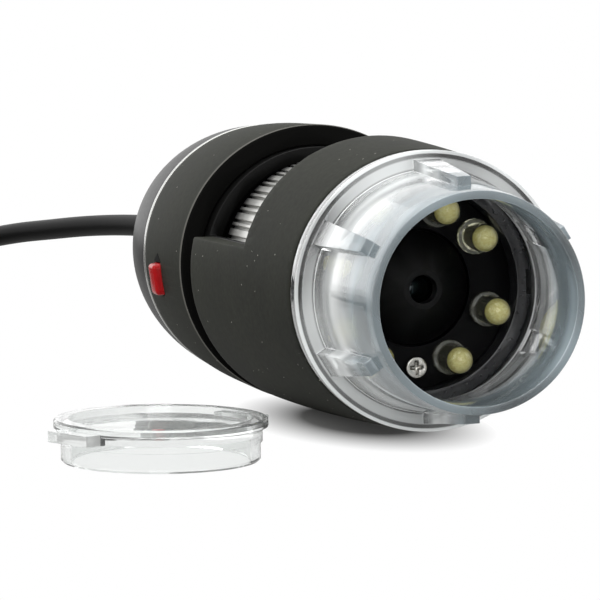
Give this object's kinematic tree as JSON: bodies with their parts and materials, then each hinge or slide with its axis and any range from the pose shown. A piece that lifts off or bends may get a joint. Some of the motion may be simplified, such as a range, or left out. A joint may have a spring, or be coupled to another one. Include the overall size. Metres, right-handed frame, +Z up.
{
  "type": "usb digital microscope",
  "caption": "Handheld digital microscope with a clear ribbed nose, a ring of lamps round the lens, a knurled focus wheel in a window, a push button, a cable and a loose nose cap.",
  "frame": {"origin": "on the optical axis, at the plane of the clear nose's front rim", "axes": "+X out of the nose along the optical axis, +Z up from the floor that the microscope lies on, +Y to the right when looking at the nose"},
  "size_m": [0.1966, 0.1033, 0.0336],
  "materials": {
    "clear_plastic": "clear moulded polycarbonate",
    "soft_touch_black": "black moulded plastic with a soft-touch coat",
    "gloss_black": "black moulded plastic, satin",
    "inner_black": "black moulded plastic",
    "board_black": "black solder mask on a glass-fibre board",
    "board_green": "green solder mask on a glass-fibre board",
    "chip_black": "moulded chip package",
    "socket_white": "white moulded nylon",
    "lamp_epoxy": "clear cast epoxy lamp body",
    "lens_glass": "polished optical glass",
    "wheel_metal": "bright turned and knurled aluminium",
    "trim_chrome": "bright plated ring",
    "steel": "plated steel",
    "contact_brass": "plated contacts",
    "button_red": "red moulded plastic",
    "cable_rubber": "black flexible cable jacket"
  },
  "bodies": {
    "housing": {"nose_cover": "clear_plastic", "front_shell": "soft_touch_black", "bezel_ring": "inner_black", "led_board": "board_black", "led_lamps": "lamp_epoxy", "led_legs": "steel", "board_screws": "steel", "lamp_mount": "inner_black", "guide_tube": "inner_black", "wheel_sleeve": "inner_black", "thrust_washer": "steel", "neck_frame": "inner_black", "frame_screws": "steel", "ir_filter": "lens_glass", "sensor_board": "board_green", "image_sensor": "chip_black", "sensor_screws": "steel", "controller_chip": "chip_black", "crystal_can": "steel", "cable_socket": "socket_white", "inner_cable": "cable_rubber", "switch_board": "board_green", "tact_switch": "chip_black", "rear_shell": "soft_touch_black", "trim_ring": "trim_chrome", "rear_dome": "gloss_black", "cable_gland": "cable_rubber", "cable_lead": "cable_rubber", "cable_coil": "cable_rubber", "cable_tail": "cable_rubber", "coil_tie": "inner_black", "plug_grip": "cable_rubber", "plug_shell": "steel", "plug_tongue": "socket_white", "plug_contacts": "contact_brass"},
    "wheel": {"focus_wheel": "wheel_metal"},
    "lens_carriage": {"lens_barrel": "inner_black", "front_lens": "lens_glass", "lens_spacer": "inner_black", "rear_lens": "lens_glass", "lens_retainer": "inner_black", "follower_pins": "steel"},
    "button": {"snap_button": "button_red", "switch_plunger": "inner_black"},
    "cap": {"lens_cap": "clear_plastic"}
  },
  "joints": [
    {"name": "focus_turn", "type": "hinge", "parent": "housing", "child": "wheel", "pos_m": [-0.0477, 0, 0], "axis": [1, 0, 0], "range_deg": [-150, 150]},
    {"name": "lens_slide", "type": "slide", "parent": "housing", "child": "lens_carriage", "axis": [1, 0, 0], "range_m": [-0.003, 0.003]},
    {"name": "button_press", "type": "slide", "parent": "housing", "child": "button", "axis": [0, 0.989, 0.1478], "range_m": [0, 0.0008], "stiffness_N_per_m": 1000},
    {"name": "cap_lift", "type": "slide", "parent": "housing", "child": "cap", "axis": [0, 0, 1], "range_m": [0, 0.04]}
  ],
  "couplings": [
    {"joint": "lens_slide", "follows": "focus_turn", "m_per_rad": 0.0011459}
  ]
}
